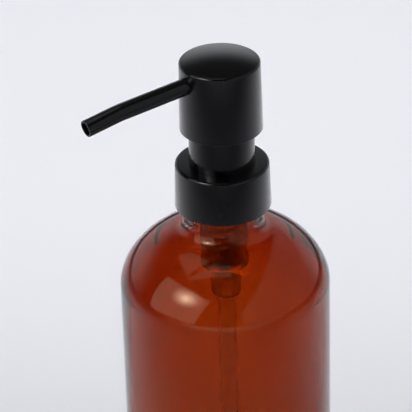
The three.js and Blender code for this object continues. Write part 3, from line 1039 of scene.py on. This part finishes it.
class DISPENSER_OT_stage(bpy.types.Operator):
    """Sets up the camera, the floor and the lights"""

    bl_idname = "dispenser.stage"
    bl_label = "Stage"

    def execute(self, context):
        settings = stage_settings()
        self.camera()
        self.floor()
        self.room()
        back = self.light("back_light", (0, 0.37, 0.95), (0, 0.37, 0), (1.2, 0.8), settings.back)
        front = self.light("front_light", (0, -1.0, 0.95), (0, -1.0, 0), (2.2, 0.9), settings.front)
        self.light("overhead_light", (-0.26, 0.19, 1.15), (-0.26, 0.19, 0), (0.7, 0.76), settings.top)
        shoulder, neck = (0, 0, 0.135), (0, 0, 0.15)
        window = self.light("window_light", (-0.61, -0.38, 0.46), shoulder, (0.86, 0.74), settings.window)
        lamp = self.light("window_lamp", (-0.43, -0.35, 0.56), neck, (0.5, 0.4), settings.lamp)
        # The back and front lights fall on the floor and show in no reflection. The window and its lamp
        # show only in reflections and through the glass.
        for light in (back, front):
            light.data.spread = FLOOR_LIGHT_SPREAD
            light.visible_glossy = False
        for light in (window, lamp):
            light.visible_diffuse = False
        self.soften(lamp)
        return {"FINISHED"}

    def camera(self):
        data = bpy.data.cameras.new("camera")
        data.lens = CAMERA_LENS
        data.clip_start = 0.05
        camera = bpy.data.objects.new("camera", data)
        bpy.context.scene.collection.objects.link(camera)
        turn = Matrix.Rotation(CAMERA_AZIMUTH, 4, "Z")
        place = Matrix.Translation((0, -CAMERA_DISTANCE, low("collar_cover") + CAMERA_HEIGHT))
        pan = Matrix.Rotation(-CAMERA_PAN, 4, "Z")
        tilt = Matrix.Rotation(math.pi / 2 - CAMERA_PITCH, 4, "X")
        roll = Matrix.Rotation(CAMERA_ROLL, 4, "Z")
        camera.matrix_world = turn @ place @ pan @ tilt @ roll
        bpy.context.scene.camera = camera

    def floor(self):
        deselect_all()
        bpy.ops.mesh.primitive_plane_add(size=8, location=(0, 0, 0))
        floor = bpy.context.object
        floor.name = "floor"
        finish = Finish("pale_floor")
        tone = finish.ramp(finish.noise(3, 2.0), *shades(stage_settings().floor, 0.01))
        finish.feed("Base Color", tone)
        finish.set(Roughness=0.85, Specular_IOR_Level=0.2)
        floor.data.materials.append(finish.material)

    def room(self):
        """A dim room with a pale backdrop low behind the object and a pale wall at its right."""
        settings = stage_settings()
        world = bpy.data.worlds.new("room")
        bpy.context.scene.world = world
        world.use_nodes = True
        nodes = world.node_tree.nodes
        links = world.node_tree.links
        background = nodes["Background"]
        coordinates = nodes.new("ShaderNodeTexCoord")
        turned = nodes.new("ShaderNodeMapping")
        turned.vector_type = "POINT"
        turned.inputs["Rotation"].default_value = (0, 0, -CAMERA_AZIMUTH)
        parts = nodes.new("ShaderNodeSeparateXYZ")
        links.new(coordinates.outputs["Generated"], turned.inputs["Vector"])
        links.new(turned.outputs["Vector"], parts.inputs["Vector"])

        def ease(value, start, end, least, most):
            """Passes smoothly from one level to another as the value goes from start to end."""
            node = nodes.new("ShaderNodeMapRange")
            node.interpolation_type = "SMOOTHSTEP"
            node.inputs["From Min"].default_value = start
            node.inputs["From Max"].default_value = end
            node.inputs["To Min"].default_value = least
            node.inputs["To Max"].default_value = most
            links.new(value, node.inputs["Value"])
            return node.outputs["Result"]

        def beside(direction):
            """How far the view is turned towards a direction."""
            node = nodes.new("ShaderNodeVectorMath")
            node.operation = "DOT_PRODUCT"
            node.inputs[1].default_value = direction
            links.new(turned.outputs["Vector"], node.inputs[0])
            return node.outputs["Value"]

        def combine(operation, first, second):
            node = nodes.new("ShaderNodeMath")
            node.operation = operation
            links.new(first, node.inputs[0])
            links.new(second, node.inputs[1])
            return node.outputs["Value"]

        behind = ease(parts.outputs["Y"], 0.1, 0.7, 0, settings.backdrop)
        backdrop = combine("MULTIPLY", behind, ease(parts.outputs["Z"], 0.25, 0.6, 1, 0))
        at_right = ease(beside((1, 0.28, 0)), 0, 0.05, 0, settings.wall)
        wall = combine("MULTIPLY", at_right, ease(beside((1.75, 0, -1)), 0, 0.1, 0, 1))
        lit = nodes.new("ShaderNodeMath")
        lit.inputs[1].default_value = settings.sky
        links.new(combine("MAXIMUM", backdrop, wall), lit.inputs[0])
        background.inputs["Color"].default_value = (0.93, 0.95, 1, 1)
        links.new(lit.outputs["Value"], background.inputs["Strength"])

    def light(self, name, place, target, size, power):
        """An area light placed in the camera's own right, depth and height directions."""
        data = bpy.data.lights.new(name, "AREA")
        data.shape = "RECTANGLE"
        data.size, data.size_y = size
        data.energy = power
        light = bpy.data.objects.new(name, data)
        bpy.context.scene.collection.objects.link(light)
        aim = Vector(target) - Vector(place)
        facing = Matrix.Translation(place) @ aim.to_track_quat("-Z", "Y").to_matrix().to_4x4()
        light.matrix_world = Matrix.Rotation(CAMERA_AZIMUTH, 4, "Z") @ facing
        light.visible_camera = False
        return light

    def soften(self, light):
        """Lets an area light fade from its middle to its edges."""
        light.data.use_nodes = True
        nodes = light.data.node_tree.nodes
        links = light.data.node_tree.links
        across = nodes.new("ShaderNodeNewGeometry")
        centred = nodes.new("ShaderNodeMapping")
        centred.inputs["Location"].default_value = (-1, -1, 0)
        centred.inputs["Scale"].default_value = (2, 2, 0)
        fade = nodes.new("ShaderNodeTexGradient")
        fade.gradient_type = "QUADRATIC_SPHERE"
        strength = nodes.new("ShaderNodeMath")
        strength.operation = "MULTIPLY"
        strength.inputs[1].default_value = LAMP_MIDDLE
        links.new(across.outputs["Parametric"], centred.inputs["Vector"])
        links.new(centred.outputs["Vector"], fade.inputs["Vector"])
        links.new(fade.outputs["Fac"], strength.inputs[0])
        links.new(strength.outputs["Value"], nodes["Emission"].inputs["Strength"])


class DISPENSER_PT_panel(bpy.types.Panel):
    """Lists the steps that build the dispenser"""

    bl_idname = "DISPENSER_PT_panel"
    bl_label = "Soap Pump"
    bl_space_type = "VIEW_3D"
    bl_region_type = "UI"
    bl_category = "Soap Pump"

    def draw(self, context):
        for step in STEPS:
            self.layout.operator(step.bl_idname)


GROUPS = {
    "dispenser_bottle": BottleSizes,
    "dispenser_shells": ShellSizes,
    "dispenser_spout": SpoutSizes,
    "dispenser_pump": PumpSizes,
    "dispenser_finishes": FinishColours,
    "dispenser_stage": StageSettings,
}
STEPS = (
    DISPENSER_OT_stage,
    DISPENSER_OT_bottle,
    DISPENSER_OT_collar,
    DISPENSER_OT_head,
    DISPENSER_OT_spout,
    DISPENSER_OT_pump,
    DISPENSER_OT_spring,
    DISPENSER_OT_suction_tube,
)


def register():
    for group in GROUPS.values():
        bpy.utils.register_class(group)
    for name, group in GROUPS.items():
        setattr(bpy.types.Scene, name, PointerProperty(type=group))
    for step in (*STEPS, DISPENSER_PT_panel):
        bpy.utils.register_class(step)


def unregister():
    for step in (DISPENSER_PT_panel, *reversed(STEPS)):
        bpy.utils.unregister_class(step)
    for name in GROUPS:
        delattr(bpy.types.Scene, name)
    for group in reversed(GROUPS.values()):
        bpy.utils.unregister_class(group)


def main():
    register()
    bpy.context.scene.view_settings.view_transform = "Standard"
    bpy.ops.dispenser.stage()
    bpy.ops.dispenser.bottle()
    bpy.ops.dispenser.collar()
    bpy.ops.dispenser.head()
    bpy.ops.dispenser.spout()
    bpy.ops.dispenser.pump()
    bpy.ops.dispenser.spring()
    bpy.ops.dispenser.suction_tube()


if __name__ == "__main__":
    main()
